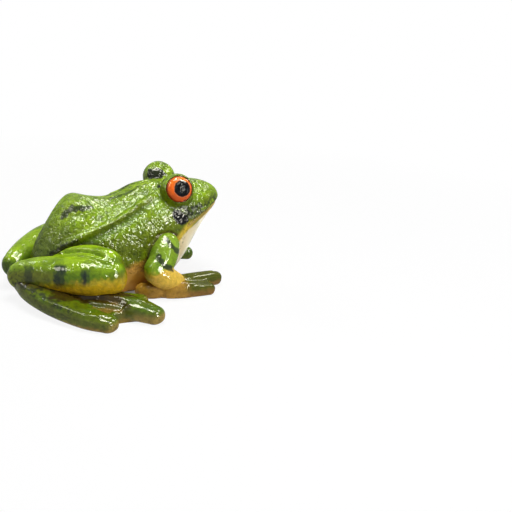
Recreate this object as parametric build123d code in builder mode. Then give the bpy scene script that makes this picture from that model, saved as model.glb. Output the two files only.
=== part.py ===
from build123d import *
import os
from math import cos, pi, sin

# Painted cast frog, sitting with its head up. It faces -Y, its left side is +X and it rests on Z = 0.
# The body is a hollow casting in two shells, parted along the mouth and the lower flank. The front
# legs, hands, folded hind legs and hind feet are cast apart and glued in by pegs, and each eye is a
# dome with a black pupil bead, set into a socket in the upper shell.

# Body, in millimetres
body_length = 76.6
body_half_width = 17.2
body_height = 41.0
body_wall = 2.6
fold_half_width = 1.7

# Eyes
eye_mound_radius = 6.6
eye_seat_depth = 3.0
iris_radius = 5.0
iris_rim = 0.5
iris_rise = 2.3
iris_stem_radius = 2.0
iris_stem_length = 2.4
pupil_radius = 2.95
pupil_rise = 1.0
pupil_seat_depth = 0.7
pupil_forward = 0.9

# Limbs: lateral reach of the feet and hands, and the greatest half thickness of each limb
foot_reach = 47.0
hand_reach = 24.5
thigh_radius = 7.0
shin_radius = 7.6
upper_arm_radius = 5.0
forearm_radius = 4.8
foot_half_width = 5.8
foot_half_height = 4.2
hand_half_width = 4.1
hand_half_height = 3.8
web_height = 4.4
hand_web_height = 5.6

# Glued seats
glue_gap = 0.12
lip_height = 2.2
lip_gap = 0.15
shoulder_peg_radius = 2.2
shoulder_peg_length = 11.0
hip_peg_width = 6.0
hip_peg_height = 4.6
hip_peg_length = 10.4
ankle_peg_radius = 1.7
ankle_peg_length = 5.6
wrist_peg_radius = 1.4
wrist_peg_length = 5.0

# Body sections from snout to rump: place along the body, half width, heights of the widest line, of
# the top and of the underside, and how full the section is above and below the widest line
body_section_shares = [
    (-0.5540, 0.07, 0.842, 0.868, 0.818, 2.0, 2.0),
    (-0.5470, 0.16, 0.836, 0.892, 0.790, 2.0, 2.0),
    (-0.5270, 0.30, 0.822, 0.930, 0.742, 2.1, 1.9),
    (-0.4960, 0.43, 0.800, 0.963, 0.672, 2.2, 1.8),
    (-0.4500, 0.58, 0.768, 0.990, 0.555, 2.3, 1.7),
    (-0.3920, 0.71, 0.725, 1.003, 0.370, 2.3, 1.75),
    (-0.3390, 0.81, 0.680, 1.005, 0.200, 2.3, 1.9),
    (-0.2740, 0.90, 0.615, 1.005, 0.070, 2.3, 2.1),
    (-0.1960, 0.965, 0.540, 1.005, -0.020, 2.2, 2.5),
    (-0.1040, 1.00, 0.480, 0.978, -0.050, 2.1, 3.0),
    (-0.0260, 1.00, 0.440, 0.915, -0.050, 2.1, 3.3),
    (0.0520, 0.985, 0.420, 0.874, -0.050, 2.1, 3.3),
    (0.1300, 0.96, 0.420, 0.888, -0.050, 2.1, 3.1),
    (0.1960, 0.93, 0.425, 0.915, -0.036, 2.1, 2.8),
    (0.2480, 0.88, 0.425, 0.890, -0.015, 2.1, 2.3),
    (0.3000, 0.81, 0.415, 0.800, 0.005, 2.0, 2.2),
    (0.3520, 0.69, 0.385, 0.655, 0.040, 2.0, 2.1),
    (0.3980, 0.52, 0.340, 0.510, 0.085, 2.0, 2.0),
    (0.4300, 0.33, 0.295, 0.385, 0.145, 2.0, 2.0),
    (0.4420, 0.17, 0.272, 0.318, 0.205, 2.0, 2.0),
]
hollow_first, hollow_last = 4, 17
section_points = 20
station_share = 0.9

# Parting line of the two shells, seen from the side: mouth, throat corner, then along the flank
seam_shares = [
    (-0.70, 0.880),
    (-0.556, 0.828),
    (-0.44, 0.725),
    (-0.335, 0.640),
    (-0.300, 0.460),
    (-0.265, 0.320),
    (-0.200, 0.240),
    (0.00, 0.225),
    (0.26, 0.225),
    (0.47, 0.255),
    (0.70, 0.255),
]

# Eye mound, in shares of body half width, length and height, and the way the eye looks
eye_mound_shares = (0.622, -0.277, 0.968)
eye_look = Vector(0.93, 0.13, 0.36)

# Raised fold along the back on the left side, from behind the eye down to the hip: lateral place as a
# share of the body's half width, places along and up in shares of length and height, two sizes as
# shares of the fold's half width
fold_shares = [
    (0.520, -0.180, 0.935, 0.60, 0.60),
    (0.610, -0.100, 0.862, 1.00, 1.00),
    (0.735, 0.010, 0.762, 1.00, 1.00),
    (0.795, 0.110, 0.692, 1.00, 1.00),
    (0.800, 0.190, 0.645, 0.90, 0.90),
    (0.770, 0.260, 0.590, 0.60, 0.60),
]

# Limb paths on the left side: lateral place as a share of the limb's reach, then place along the body
# and height in shares of the body's, then half width and half height as shares of the limb's own
thigh_shares = [
    (0.260, 0.330, 0.355, 0.60, 0.60),
    (0.335, 0.275, 0.400, 0.80, 0.78),
    (0.410, 0.210, 0.413, 0.94, 0.92),
    (0.500, 0.148, 0.395, 0.98, 0.96),
]
shin_shares = [
    (0.562, 0.140, 0.312, 0.88, 0.94),
    (0.525, 0.228, 0.318, 0.92, 0.95),
    (0.405, 0.330, 0.313, 0.90, 0.93),
    (0.265, 0.426, 0.283, 0.80, 0.85),
    (0.170, 0.488, 0.248, 0.68, 0.76),
    (0.135, 0.511, 0.230, 0.62, 0.68),
]
upper_arm_shares = [
    (0.640, -0.197, 0.470, 1.06, 0.98),
    (0.715, -0.182, 0.415, 1.12, 1.04),
    (0.800, -0.157, 0.340, 1.06, 1.02),
    (0.862, -0.122, 0.283, 0.92, 0.98),
]
forearm_shares = [
    (0.885, -0.118, 0.262, 0.94, 0.96),
    (0.900, -0.165, 0.200, 1.00, 1.00),
    (0.895, -0.215, 0.145, 0.90, 0.86),
]
outer_toe_shares = [
    (0.180, 0.492, 0.170, 0.74, 0.84),
    (0.300, 0.465, 0.148, 0.94, 0.92),
    (0.440, 0.422, 0.126, 1.06, 0.94),
    (0.620, 0.360, 0.100, 1.04, 0.92),
    (0.820, 0.278, 0.078, 0.90, 0.86),
    (0.943, 0.212, 0.062, 0.66, 0.70),
]
long_toe_shares = [
    (0.330, 0.380, 0.140, 0.74, 0.80),
    (0.500, 0.255, 0.118, 0.96, 0.92),
    (0.680, 0.125, 0.100, 1.00, 0.96),
    (0.820, 0.038, 0.088, 0.86, 0.90),
    (0.915, -0.016, 0.070, 0.68, 0.76),
]
inner_toe_shares = [
    (0.400, 0.330, 0.090, 0.70, 0.72),
    (0.500, 0.170, 0.078, 0.74, 0.70),
    (0.560, 0.040, 0.062, 0.62, 0.60),
    (0.570, -0.018, 0.052, 0.50, 0.52),
]
long_finger_shares = [
    (0.860, -0.160, 0.090, 0.90, 0.90),
    (0.840, -0.235, 0.096, 1.02, 0.98),
    (0.780, -0.340, 0.094, 0.84, 0.90),
    (0.700, -0.430, 0.085, 0.70, 0.80),
    (0.655, -0.478, 0.074, 0.62, 0.72),
]
palm_shares = [
    (0.860, -0.190, 0.090, 0.90, 0.90),
    (0.820, -0.110, 0.075, 0.96, 0.90),
    (0.760, -0.065, 0.065, 0.80, 0.74),
]
short_finger_shares = [
    (0.900, -0.180, 0.078, 0.84, 0.82),
    (0.945, -0.265, 0.078, 0.94, 0.84),
    (0.975, -0.350, 0.066, 0.78, 0.72),
    (0.985, -0.395, 0.056, 0.64, 0.62),
]
# Outline of the pad that joins the fingers, from the wrist round their tips and back
hand_web_shares = [
    (0.860, -0.100),
    (0.970, -0.200),
    (0.985, -0.300),
    (0.965, -0.395),
    (0.730, -0.425),
    (0.760, -0.330),
    (0.800, -0.200),
    (0.740, -0.080),
]
# Outline of the skin between the hind toes, from the heel round the toes and back
web_shares = [
    (0.330, 0.410),
    (0.640, 0.330),
    (0.860, 0.225),
    (0.850, 0.130),
    (0.860, 0.040),
    (0.640, 0.060),
    (0.560, 0.080),
    (0.430, 0.250),
]
# Middle of each peg, in the shares of its limb, and how far round the closing of a limb end goes
shoulder_peg_shares = (0.590, -0.212, 0.445)
hip_peg_shares = (0.290, 0.300, 0.385)
ankle_peg_shares = (0.380, 0.380, 0.160)
wrist_peg_shares = (0.870, -0.205, 0.120)
end_angle_shares = (0.0, 0.36, 0.66, 0.90)


def body_section(y, half_width, wide_z, top_z, under_z, full_top, full_under):
    """One closed section of the body: two half superellipses that meet at the widest line."""
    points = []
    for i in range(section_points):
        angle = pi / 2 + 2 * pi * i / section_points
        side, rise = cos(angle), sin(angle)
        fullness = full_top if rise > 0 else full_under
        height = top_z - wide_z if rise > 0 else wide_z - under_z
        x = half_width * abs(side) ** (2 / fullness) * (1 if side > 0 else -1)
        z = wide_z + height * abs(rise) ** (2 / fullness) * (1 if rise > 0 else -1)
        points.append((x, z))
    with BuildSketch(Plane.XZ.offset(-y)) as section:
        with BuildLine():
            Spline(*points, periodic=True)
        make_face()
    return section.sketch


def body_form(inset, shares):
    """The body's solid, drawn in by an inset all round, or grown where the inset is negative."""
    with BuildPart() as form:
        loft(
            [
                body_section(
                    y * body_length,
                    w * body_half_width - inset,
                    wide * body_height,
                    top * body_height - inset,
                    under * body_height + inset,
                    full_top,
                    full_under,
                )
                for y, w, wide, top, under, full_top, full_under in shares
            ]
        )
    return form.part


def at(shares, reach):
    return Vector(shares[0] * reach, shares[1] * body_length, shares[2] * body_height)


def limb(shares, reach, half_width, half_height, grow=0):
    """A limb on the left side: ellipses square to a smooth path, lofted, with rounded ends."""
    path = Spline(*[at(row, reach) for row in shares])
    stations = max(round(path.length / (station_share * half_width)), len(shares))
    sections = []
    for i in range(stations + 1):
        share = i / stations
        row = min(int(share * (len(shares) - 1)), len(shares) - 2)
        blend = share * (len(shares) - 1) - row
        wide, high = (
            size * (shares[row][k] * (1 - blend) + shares[row + 1][k] * blend) + grow
            for k, size in ((3, half_width), (4, half_height))
        )
        place = path.position_at(share)
        along = path.tangent_at(share)
        turns = {0: end_angle_shares[::-1], stations: end_angle_shares}
        for turn in turns.get(i, end_angle_shares[:1]):
            angle = turn * pi / 2
            out = along * wide * sin(angle) * (-1 if i == 0 else 1)
            across = along.cross(Vector(0, 0, 1))
            with BuildSketch(Plane(origin=place + out, x_dir=across, z_dir=along)) as section:
                Ellipse(wide * cos(angle), high * cos(angle))
            sections.append(section.sketch)
    with BuildPart() as form:
        loft(sections)
    return form.part


def below_line(shares, rise):
    """Everything under the parting line, right across the body, with the line raised by a rise."""
    line = [(y * body_length, z * body_height + rise) for y, z in shares]
    with BuildPart() as block:
        with BuildSketch(Plane.YZ):
            with BuildLine():
                Polyline(*line, (line[-1][0], -body_height), (line[0][0], -body_height), close=True)
            make_face()
        extrude(amount=body_height, both=True)
    return block.part


def shoulder_peg(clearance):
    with BuildPart() as peg:
        with Locations(Plane(origin=at(shoulder_peg_shares, hand_reach), z_dir=(1, 0, 0))):
            Cylinder(shoulder_peg_radius + clearance, shoulder_peg_length + 2 * clearance)
    return peg.part


def hip_peg(clearance):
    with BuildPart() as peg:
        with Locations(at(hip_peg_shares, foot_reach)):
            Box(
                hip_peg_length + 2 * clearance,
                hip_peg_width + 2 * clearance,
                hip_peg_height + 2 * clearance,
            )
    return peg.part


def upright_peg(place, radius, length, clearance):
    with BuildPart() as peg:
        with Locations(place):
            Cylinder(radius + clearance, length + 2 * clearance)
    return peg.part


def leg_form(grow):
    return limb(thigh_shares, foot_reach, thigh_radius, thigh_radius, grow) + limb(
        shin_shares, foot_reach, shin_radius, shin_radius, grow
    )


def arm_form(grow):
    return limb(upper_arm_shares, hand_reach, upper_arm_radius, upper_arm_radius, grow) + limb(
        forearm_shares, hand_reach, forearm_radius, forearm_radius, grow
    )


look = eye_look.normalized()
eye_centre = at(eye_mound_shares, body_half_width)
eye_seat = Plane(
    origin=eye_centre + look * (eye_mound_radius - eye_seat_depth),
    x_dir=look.cross(Vector(0, 0, 1)),
    z_dir=look,
)
eye_axis = Axis(eye_seat.origin, look)
eye_profile = Plane(origin=eye_seat.origin, x_dir=eye_seat.x_dir, z_dir=eye_seat.y_dir * -1)
dome_radius = (iris_radius**2 + iris_rise**2) / (2 * iris_rise)
dome_centre_height = iris_rim + iris_rise - dome_radius
pupil_dome_radius = (pupil_radius**2 + pupil_rise**2) / (2 * pupil_rise)
pupil_edge_height = (dome_radius**2 - pupil_radius**2) ** 0.5
pupil_turn = pupil_forward / dome_radius
pupil_look = look * cos(pupil_turn) + eye_seat.x_dir * sin(pupil_turn)
pupil_seat = Plane(
    origin=eye_seat.origin + look * dome_centre_height,
    x_dir=eye_seat.y_dir.cross(pupil_look),
    z_dir=pupil_look,
)
pupil_profile = Plane(origin=pupil_seat.origin, x_dir=pupil_seat.x_dir, z_dir=pupil_seat.y_dir * -1)

hollow_shares = body_section_shares[hollow_first:hollow_last]
body_outer = body_form(0, body_section_shares)
fold_clear = limb(fold_shares, body_half_width, fold_half_width, fold_half_width, glue_gap)
body_clear = body_form(-glue_gap, body_section_shares) + fold_clear
body_hollow = body_form(body_wall, hollow_shares)
lip_seat = body_form(body_wall / 2, hollow_shares)
lip_body = body_form(body_wall / 2 + lip_gap, hollow_shares)
below_seam = below_line(seam_shares, 0)

with BuildPart() as left_iris:
    with BuildSketch(eye_profile):
        with BuildLine():
            Polyline(
                (0, iris_rim + iris_rise),
                (0, -iris_stem_length),
                (iris_stem_radius, -iris_stem_length),
                (iris_stem_radius, 0),
                (iris_radius, 0),
                (iris_radius, iris_rim),
            )
            RadiusArc((iris_radius, iris_rim), (0, iris_rim + iris_rise), -dome_radius)
        make_face()
    revolve(axis=eye_axis)
    with Locations(pupil_seat.offset(pupil_edge_height - pupil_seat_depth)):
        Cylinder(
            pupil_radius + glue_gap,
            iris_rise,
            align=(Align.CENTER, Align.CENTER, Align.MIN),
            mode=Mode.SUBTRACT,
        )

with BuildPart() as left_pupil:
    floor = pupil_edge_height - pupil_seat_depth + glue_gap
    top = pupil_edge_height + pupil_rise
    with BuildSketch(pupil_profile):
        with BuildLine():
            Polyline((0, top), (0, floor), (pupil_radius, floor), (pupil_radius, pupil_edge_height))
            RadiusArc((pupil_radius, pupil_edge_height), (0, top), -pupil_dome_radius)
        make_face()
    revolve(axis=Axis(pupil_seat.origin, pupil_look))

with BuildPart() as left_eye_socket:
    with Locations(eye_seat.offset(-glue_gap)):
        Cylinder(
            iris_radius + glue_gap,
            eye_mound_radius,
            align=(Align.CENTER, Align.CENTER, Align.MIN),
        )
    with Locations(eye_seat.offset(-iris_stem_length - glue_gap)):
        Cylinder(
            iris_stem_radius + glue_gap,
            iris_stem_length,
            align=(Align.CENTER, Align.CENTER, Align.MIN),
        )

with BuildPart() as left_sockets:
    add(left_eye_socket.part)
    add(shoulder_peg(glue_gap))
    add(hip_peg(glue_gap))

with BuildPart() as left_relief:
    with Locations(eye_centre):
        Sphere(eye_mound_radius)
    add(limb(fold_shares, body_half_width, fold_half_width, fold_half_width))

with BuildPart() as upper_body_shell:
    add(body_outer)
    add(left_relief.part)
    mirror(left_relief.part, about=Plane.YZ)
    add(below_seam, mode=Mode.SUBTRACT)
    add(lip_seat & below_line(seam_shares, lip_height + lip_gap), mode=Mode.SUBTRACT)
    add(body_hollow, mode=Mode.SUBTRACT)
    add(left_sockets.part, mode=Mode.SUBTRACT)
    mirror(left_sockets.part, about=Plane.YZ, mode=Mode.SUBTRACT)

with BuildPart() as lower_body_shell:
    add(body_outer & below_seam)
    add(lip_body & below_line(seam_shares, lip_height))
    add(body_hollow, mode=Mode.SUBTRACT)
    split(bisect_by=Plane.XY)

with BuildPart() as left_foreleg:
    add(arm_form(0))
    add(body_clear, mode=Mode.SUBTRACT)
    add(shoulder_peg(0))
    add(upright_peg(at(wrist_peg_shares, hand_reach), wrist_peg_radius, wrist_peg_length, 0))

with BuildPart() as left_hand:
    with BuildSketch(Plane.XY):
        with BuildLine():
            Polyline(
                *[(x * hand_reach, y * body_length) for x, y in hand_web_shares], close=True
            )
        make_face()
    extrude(amount=hand_web_height)
    for shares in (long_finger_shares, short_finger_shares, palm_shares):
        add(limb(shares, hand_reach, hand_half_width, hand_half_height))
    add(body_clear, mode=Mode.SUBTRACT)
    add(arm_form(glue_gap), mode=Mode.SUBTRACT)
    add(
        upright_peg(at(wrist_peg_shares, hand_reach), wrist_peg_radius, wrist_peg_length, glue_gap),
        mode=Mode.SUBTRACT,
    )
    split(bisect_by=Plane.XY)

with BuildPart() as left_hind_leg:
    add(leg_form(0))
    add(body_clear, mode=Mode.SUBTRACT)
    add(hip_peg(0))
    add(upright_peg(at(ankle_peg_shares, foot_reach), ankle_peg_radius, ankle_peg_length, 0))

with BuildPart() as left_hind_foot:
    with BuildSketch(Plane.XY):
        with BuildLine():
            Polyline(*[(x * foot_reach, y * body_length) for x, y in web_shares], close=True)
        make_face()
    extrude(amount=web_height)
    for shares in (outer_toe_shares, long_toe_shares, inner_toe_shares):
        add(limb(shares, foot_reach, foot_half_width, foot_half_height))
    add(body_clear, mode=Mode.SUBTRACT)
    add(leg_form(glue_gap), mode=Mode.SUBTRACT)
    add(
        upright_peg(at(ankle_peg_shares, foot_reach), ankle_peg_radius, ankle_peg_length, glue_gap),
        mode=Mode.SUBTRACT,
    )
    split(bisect_by=Plane.XY)

os.makedirs("parts", exist_ok=True)
for name, piece in (("upper_body_shell", upper_body_shell), ("lower_body_shell", lower_body_shell)):
    piece.part.label = name
    export_step(piece.part, f"parts/{name}.step")

for name, piece in (
    ("iris", left_iris),
    ("pupil", left_pupil),
    ("foreleg", left_foreleg),
    ("hand", left_hand),
    ("hind_leg", left_hind_leg),
    ("hind_foot", left_hind_foot),
):
    piece.part.label = f"left_{name}"
    export_step(piece.part, f"parts/left_{name}.step")
    with BuildPart() as twin:
        mirror(piece.part, about=Plane.YZ)
    twin.part.label = f"right_{name}"
    export_step(twin.part, f"parts/right_{name}.step")
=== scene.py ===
"""A hand-painted cast frog under glossy varnish, shown on a plain white table."""

import bmesh
import bpy
import numpy as np
from mathutils import Matrix, Vector


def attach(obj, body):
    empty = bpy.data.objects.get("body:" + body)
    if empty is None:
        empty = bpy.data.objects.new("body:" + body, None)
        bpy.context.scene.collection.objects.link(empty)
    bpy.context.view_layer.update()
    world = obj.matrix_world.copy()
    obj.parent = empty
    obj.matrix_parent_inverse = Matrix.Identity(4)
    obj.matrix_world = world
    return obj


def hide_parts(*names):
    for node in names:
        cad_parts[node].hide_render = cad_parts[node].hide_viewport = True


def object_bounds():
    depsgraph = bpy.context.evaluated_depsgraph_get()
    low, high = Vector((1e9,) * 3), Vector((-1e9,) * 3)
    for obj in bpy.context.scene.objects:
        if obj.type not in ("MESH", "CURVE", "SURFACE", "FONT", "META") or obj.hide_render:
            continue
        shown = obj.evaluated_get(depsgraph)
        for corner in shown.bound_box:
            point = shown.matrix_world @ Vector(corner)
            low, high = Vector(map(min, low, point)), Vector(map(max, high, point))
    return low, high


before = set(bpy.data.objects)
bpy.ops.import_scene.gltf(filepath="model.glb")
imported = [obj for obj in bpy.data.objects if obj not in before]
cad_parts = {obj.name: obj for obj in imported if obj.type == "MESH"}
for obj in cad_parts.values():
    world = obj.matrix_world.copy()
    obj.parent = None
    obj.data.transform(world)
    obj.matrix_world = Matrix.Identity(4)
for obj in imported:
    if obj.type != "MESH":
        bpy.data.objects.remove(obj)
cad_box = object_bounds()

# Shapes are worked out in millimetres and put into the meshes in metres
MM = 0.001
cad_low, cad_high = np.array(cad_box) / MM
box_margin = 0.005
shown = bpy.context.scene.collection

# Body, as in the model's own source
body_length = 76.6
body_half_width = 17.2
body_height = 41.0
body_section_shares = [
    (-0.5540, 0.07, 0.842, 0.868, 0.818, 2.0, 2.0),
    (-0.5470, 0.16, 0.836, 0.892, 0.790, 2.0, 2.0),
    (-0.5270, 0.30, 0.822, 0.930, 0.742, 2.1, 1.9),
    (-0.4960, 0.43, 0.800, 0.963, 0.672, 2.2, 1.8),
    (-0.4500, 0.58, 0.768, 0.990, 0.555, 2.3, 1.7),
    (-0.3920, 0.71, 0.725, 1.003, 0.370, 2.3, 1.75),
    (-0.3390, 0.81, 0.680, 1.005, 0.200, 2.3, 1.9),
    (-0.2740, 0.90, 0.615, 1.005, 0.070, 2.3, 2.1),
    (-0.1960, 0.965, 0.540, 1.005, -0.020, 2.2, 2.5),
    (-0.1040, 1.00, 0.480, 0.978, -0.050, 2.1, 3.0),
    (-0.0260, 1.00, 0.440, 0.915, -0.050, 2.1, 3.3),
    (0.0520, 0.985, 0.420, 0.874, -0.050, 2.1, 3.3),
    (0.1300, 0.96, 0.420, 0.888, -0.050, 2.1, 3.1),
    (0.1960, 0.93, 0.425, 0.915, -0.036, 2.1, 2.8),
    (0.2480, 0.88, 0.425, 0.890, -0.015, 2.1, 2.3),
    (0.3000, 0.81, 0.415, 0.800, 0.005, 2.0, 2.2),
    (0.3520, 0.69, 0.385, 0.655, 0.040, 2.0, 2.1),
    (0.3980, 0.52, 0.340, 0.510, 0.085, 2.0, 2.0),
    (0.4300, 0.33, 0.295, 0.385, 0.145, 2.0, 2.0),
    (0.4420, 0.17, 0.272, 0.318, 0.205, 2.0, 2.0),
]
seam_shares = [(-0.70, 0.880), (-0.556, 0.828), (-0.44, 0.725), (-0.335, 0.640), (-0.300, 0.460)]
seam_shares += [(-0.265, 0.320), (-0.200, 0.240), (0.00, 0.225), (0.26, 0.225), (0.47, 0.255)]
seam_shares += [(0.70, 0.255)]

# Eyes
eye_mound_radius = 6.6
eye_mound_shares = (0.622, -0.277, 0.968)
eye_look = (0.93, 0.13, 0.36)
eye_seat_depth = 3.0
iris_radius = 5.0
iris_floor, iris_rim = -0.5, 0.5
iris_rise = 2.3
iris_dome_radius = (iris_radius**2 + iris_rise**2) / (2 * iris_rise)
pupil_radius = 2.95
pupil_rise = 1.0
pupil_seat_depth = 0.7
pupil_forward = 0.9
pupil_edge_height = (iris_dome_radius**2 - pupil_radius**2) ** 0.5
pupil_floor = pupil_edge_height - pupil_seat_depth

# Limbs: reach across and half sizes, then paths of shares as in the model's own source
foot_reach = 47.0
hand_reach = 24.5
thigh_radius = 7.0
shin_radius = 7.6
upper_arm_radius = 5.0
forearm_radius = 4.8
foot_half_width = 5.8
foot_half_height = 4.2
hand_half_width = 4.1
hand_half_height = 3.8
web_height = 4.4
hand_web_height = 5.6
hand_web_depth = 4.0
thigh_shares = [
    (0.260, 0.330, 0.355, 0.60, 0.60),
    (0.335, 0.275, 0.400, 0.80, 0.78),
    (0.410, 0.210, 0.413, 0.94, 0.92),
    (0.500, 0.148, 0.395, 0.98, 0.96),
]
shin_shares = [
    (0.562, 0.140, 0.312, 0.88, 0.94),
    (0.525, 0.228, 0.318, 0.92, 0.95),
    (0.405, 0.330, 0.313, 0.90, 0.93),
    (0.265, 0.426, 0.283, 0.80, 0.85),
    (0.170, 0.488, 0.248, 0.68, 0.76),
    (0.135, 0.511, 0.230, 0.62, 0.68),
]
upper_arm_shares = [
    (0.640, -0.197, 0.470, 1.06, 0.98),
    (0.715, -0.182, 0.415, 1.12, 1.04),
    (0.800, -0.157, 0.340, 1.06, 1.02),
    (0.862, -0.122, 0.283, 0.92, 0.98),
]
forearm_shares = [
    (0.885, -0.118, 0.262, 0.94, 0.96),
    (0.900, -0.165, 0.200, 1.00, 1.00),
    (0.895, -0.215, 0.145, 0.90, 0.86),
]
outer_toe_shares = [
    (0.180, 0.492, 0.170, 0.74, 0.84),
    (0.300, 0.465, 0.148, 0.94, 0.92),
    (0.440, 0.422, 0.126, 1.06, 0.94),
    (0.620, 0.360, 0.100, 1.04, 0.92),
    (0.820, 0.278, 0.078, 0.90, 0.86),
    (0.943, 0.212, 0.062, 0.66, 0.70),
]
long_toe_shares = [
    (0.330, 0.380, 0.140, 0.74, 0.80),
    (0.500, 0.255, 0.118, 0.96, 0.92),
    (0.680, 0.125, 0.100, 1.00, 0.96),
    (0.820, 0.038, 0.088, 0.86, 0.90),
    (0.915, -0.016, 0.070, 0.68, 0.76),
]
inner_toe_shares = [
    (0.400, 0.330, 0.090, 0.70, 0.72),
    (0.500, 0.170, 0.078, 0.74, 0.70),
    (0.560, 0.040, 0.062, 0.62, 0.60),
    (0.570, -0.018, 0.052, 0.50, 0.52),
]
long_finger_shares = [
    (0.860, -0.160, 0.090, 0.90, 0.90),
    (0.840, -0.235, 0.096, 1.02, 0.98),
    (0.780, -0.340, 0.094, 0.84, 0.90),
    (0.700, -0.430, 0.085, 0.70, 0.80),
    (0.655, -0.478, 0.074, 0.62, 0.72),
]
short_finger_shares = [
    (0.900, -0.180, 0.078, 0.84, 0.82),
    (0.945, -0.265, 0.078, 0.94, 0.84),
    (0.975, -0.350, 0.066, 0.78, 0.72),
    (0.985, -0.395, 0.056, 0.64, 0.62),
]
palm_shares = [
    (0.860, -0.190, 0.090, 0.90, 0.90),
    (0.820, -0.110, 0.075, 0.96, 0.90),
    (0.760, -0.065, 0.065, 0.80, 0.74),
]
# Plan of the webbed middle of the foot, at its outer and inner edges from heel to toes
web_outer_shares = [(0.330, 0.410), (0.640, 0.330), (0.860, 0.225), (0.850, 0.130), (0.860, 0.040)]
web_inner_shares = [(0.300, 0.360), (0.430, 0.250), (0.520, 0.130), (0.560, 0.080), (0.640, 0.055)]
# Plan of the pad that joins the fingers, in the same way
hand_web_outer_shares = [(0.86, -0.10), (0.97, -0.20), (0.985, -0.30), (0.965, -0.395)]
hand_web_inner_shares = [(0.74, -0.08), (0.80, -0.20), (0.76, -0.33), (0.73, -0.425)]

# Rings along a limb and over each of its end caps, and the share of a quarter turn that the cap's
# rings reach: a point closes the rest
limb_rings = 72
cap_rings = 16
cap_reach = 0.97
# Wax forms: remesh cube in mm, and how often each form is rubbed smooth
body_cube, leg_cube, arm_cube = 0.42, 0.38, 0.33
body_rubs, leg_rubs, foot_rubs, arm_rubs, hand_rubs = 22, 16, 22, 14, 18
# Share of the way to its neighbours' mean that a rub moves a point, and then moves it back
rub_in, rub_back = 0.55, -0.57
# Angle in degrees past which an edge stays sharp
sharp_edge = 48
# Numbers that turn a lattice point into a random value, for the blotches
lattice_steps, lattice_gain = (127.1, 311.7, 74.7), 43758.5453


def through(rows, count):
    """Values carried smoothly through a table's rows: a Catmull-Rom curve, evenly sampled."""
    rows = np.asarray(rows, float)
    ends = np.vstack([2 * rows[0] - rows[1], rows, 2 * rows[-1] - rows[-2]])
    place = np.linspace(0, len(rows) - 1, count)
    k = np.minimum(place.astype(int), len(rows) - 2)
    t = (place - k)[:, None]
    a, b, c, d = (ends[k + i] for i in range(4))
    return b + 0.5 * t * (c - a + t * (2 * a - 5 * b + 4 * c - d + t * (3 * b - a - 3 * c + d)))


def body_surface(rings=200, around=180):
    """The body: along it a smooth table of sections, and round each a half superellipse above and
    one below its widest line, x = w cos^(2/n), z = widest + h sin^(2/n)."""
    y, w, wide, top, under, full_top, full_under = through(body_section_shares, rings).T[:, :, None]
    angle = np.linspace(0, 2 * np.pi, around, endpoint=False)[None, :]
    side, rise = np.cos(angle), np.sin(angle)
    full = np.where(rise > 0, full_top, full_under)
    height = np.where(rise > 0, top - wide, wide - under) * body_height
    x = w * body_half_width * np.sign(side) * np.abs(side) ** (2 / full)
    z = wide * body_height + height * np.sign(rise) * np.abs(rise) ** (2 / full)
    return np.stack([x, np.broadcast_to(y * body_length, x.shape), z], -1)


def limb_stations(shares, reach, half_width, half_height, count=28):
    """Middle points and half sizes along a limb on the frog's left side."""
    rows = through(shares, count)
    middle = rows[:, :3] * (reach, body_length, body_height)
    return middle, rows[:, 3:] * (half_width, half_height)


def limb_surface(shares, reach, half_width, half_height, full=2.0, around=144):
    """A limb: a superellipse square to a smooth path, x = a cos^(2/n), y = b sin^(2/n), shrinking over
    a round cap at each end. n of 2 is an ellipse and more is boxier."""
    middle, size = limb_stations(shares, reach, half_width, half_height, limb_rings)
    along = np.gradient(middle, axis=0)
    along /= np.linalg.norm(along, axis=1)[:, None]
    turn = np.linspace(0, cap_reach * np.pi / 2, cap_rings + 1)[1:]
    first = middle[0] - np.sin(turn[::-1])[:, None] * along[0] * size[0, 0]
    last = middle[-1] + np.sin(turn)[:, None] * along[-1] * size[-1, 0]
    middle = np.vstack([first, middle, last])
    size = np.vstack([np.cos(turn[::-1])[:, None] * size[0], size, np.cos(turn)[:, None] * size[-1]])
    along = np.vstack([np.tile(along[0], (cap_rings, 1)), along, np.tile(along[-1], (cap_rings, 1))])
    across = np.cross(along, (0, 0, 1))
    across /= np.linalg.norm(across, axis=1)[:, None]
    angle = np.linspace(0, 2 * np.pi, around, endpoint=False)
    side = np.sign(np.cos(angle)) * np.abs(np.cos(angle)) ** (2 / full)
    rise = np.sign(np.sin(angle)) * np.abs(np.sin(angle)) ** (2 / full)
    ring = side[None, :, None] * (across * size[:, :1])[:, None]
    return middle[:, None] + ring + rise[None, :, None] * (np.cross(along, across) * size[:, 1:])[:, None]


def ball_surface(centre, radius, rings=40, around=64):
    """A ball: rings at even angles from pole to pole, x = r sin p cos a, y = r sin p sin a,
    z = r cos p."""
    polar = np.linspace(0, np.pi, rings + 2)[1:-1, None]
    angle = np.linspace(0, 2 * np.pi, around, endpoint=False)[None, :]
    height = np.broadcast_to(np.cos(polar), (rings, around))
    point = np.stack([np.sin(polar) * np.cos(angle), np.sin(polar) * np.sin(angle), height], -1)
    return np.asarray(centre) + radius * point


def pad_surface(outer_shares, inner_shares, reach, top, bottom, count, across):
    """A pad of web: straight rows between two edge curves in plan, at the heights of its top, and
    back again at those of its bottom."""
    outer, inner = (
        through([(x * reach, y * body_length) for x, y in shares], count)
        for shares in (outer_shares, inner_shares)
    )
    plan = outer[:, None] + (inner - outer)[:, None] * np.linspace(0, 1, across)[None, :, None]
    high, low = (np.broadcast_to(level, plan.shape[:2] + (1,)) for level in (top, bottom))
    upper, lower = np.concatenate([plan, high], -1), np.concatenate([plan[:, ::-1], low], -1)
    return np.concatenate([upper, lower], 1)


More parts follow.
